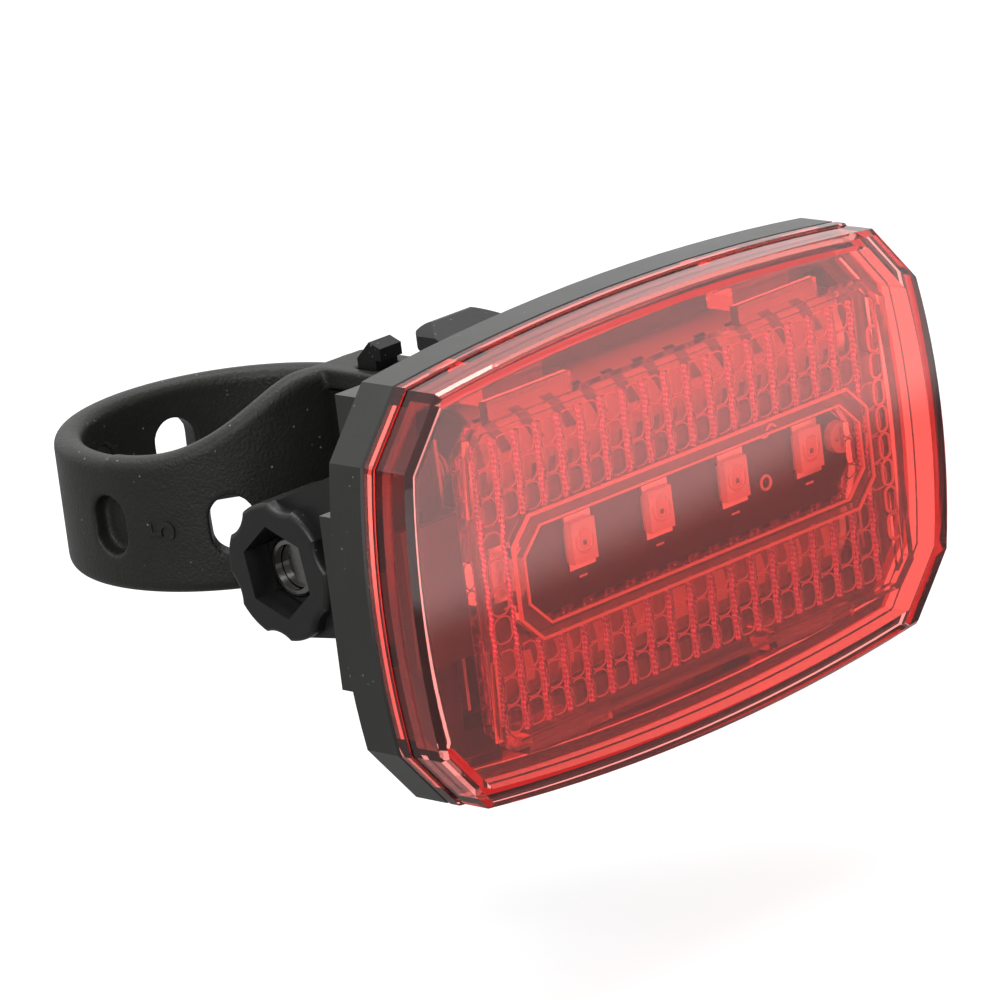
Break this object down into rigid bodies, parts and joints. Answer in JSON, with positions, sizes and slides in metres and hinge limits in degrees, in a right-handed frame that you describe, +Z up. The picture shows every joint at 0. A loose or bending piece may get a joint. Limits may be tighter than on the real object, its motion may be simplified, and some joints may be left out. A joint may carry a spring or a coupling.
{
  "type": "bicycle rear light",
  "caption": "Red bicycle rear light with clear cut-corner lens, battery box, slide-off clip, tilting hinge and rubber strap for a round seat post.",
  "frame": {"origin": "on the axis of the seat post, half way up the rubber strap", "axes": "+Z up along the post, -Y the way the lens faces, +X along the light"},
  "size_m": [0.0646, 0.0727, 0.039],
  "materials": {
    "red_lens": "clear red polycarbonate, polished",
    "red_prism": "clear red moulded prisms",
    "seal_rubber": "soft black rubber",
    "black_shell": "black moulded plastic, satin",
    "board": "dark solder mask on glass laminate",
    "led_frame": "white moulded diode frame",
    "led_gel": "clear gel over the die",
    "screw_steel": "zinc plated steel",
    "chip_black": "black moulded epoxy",
    "plunger_white": "white moulded plastic",
    "button_rubber": "soft black rubber",
    "cell_metal": "plated can",
    "cell_sleeve": "shrunk film sleeve",
    "contact_metal": "nickel plated spring steel",
    "black_clip": "black moulded plastic, satin",
    "black_base": "black moulded plastic, smooth",
    "strap_rubber": "matte black rubber"
  },
  "bodies": {
    "mount": {"mount_strap": "strap_rubber", "hinge_base": "black_base"},
    "bracket": {"slide_clip": "black_clip", "hinge_screw": "screw_steel", "hinge_washer": "screw_steel", "hinge_nut": "screw_steel"},
    "latch": {"release_latch": "black_clip"},
    "housing": {"back_shell": "black_shell", "seal_ring": "seal_rubber", "circuit_board": "board", "led_packages": "led_frame", "led_dies": "led_gel", "board_screw": "screw_steel", "controller_chip": "chip_black", "chip_resistors": "chip_black", "tact_switch": "chip_black", "upper_cell_can": "cell_metal", "lower_cell_can": "cell_metal", "upper_cell_sleeve": "cell_sleeve", "lower_cell_sleeve": "cell_sleeve", "upper_cell_cap": "cell_metal", "lower_cell_cap": "cell_metal", "link_contact": "contact_metal", "negative_contact": "contact_metal", "positive_contact": "contact_metal", "contact_springs": "contact_metal"},
    "lens": {"lens_cover": "red_lens", "prism_panel": "red_prism"},
    "button": {"power_button": "button_rubber", "switch_plunger": "plunger_white"}
  },
  "joints": [
    {"name": "tilt", "type": "hinge", "parent": "mount", "child": "bracket", "pos_m": [0, -0.0211, -0.0018], "axis": [1, 0, 0], "range_deg": [-20, 35]},
    {"name": "latch_flex", "type": "hinge", "parent": "bracket", "child": "latch", "pos_m": [0, -0.03645, 0.00615], "axis": [-1, 0, 0], "range_deg": [0, 8], "stiffness_Nm_per_rad": 0.3},
    {"name": "slide_off", "type": "slide", "parent": "bracket", "child": "housing", "axis": [0, 0, 1], "range_m": [0, 0.014]},
    {"name": "lens_off", "type": "slide", "parent": "housing", "child": "lens", "axis": [0, -1, 0], "range_m": [0, 0.012]},
    {"name": "button_press", "type": "slide", "parent": "housing", "child": "button", "axis": [0, -1, 0], "range_m": [0, 0.0005], "stiffness_N_per_m": 1500}
  ]
}
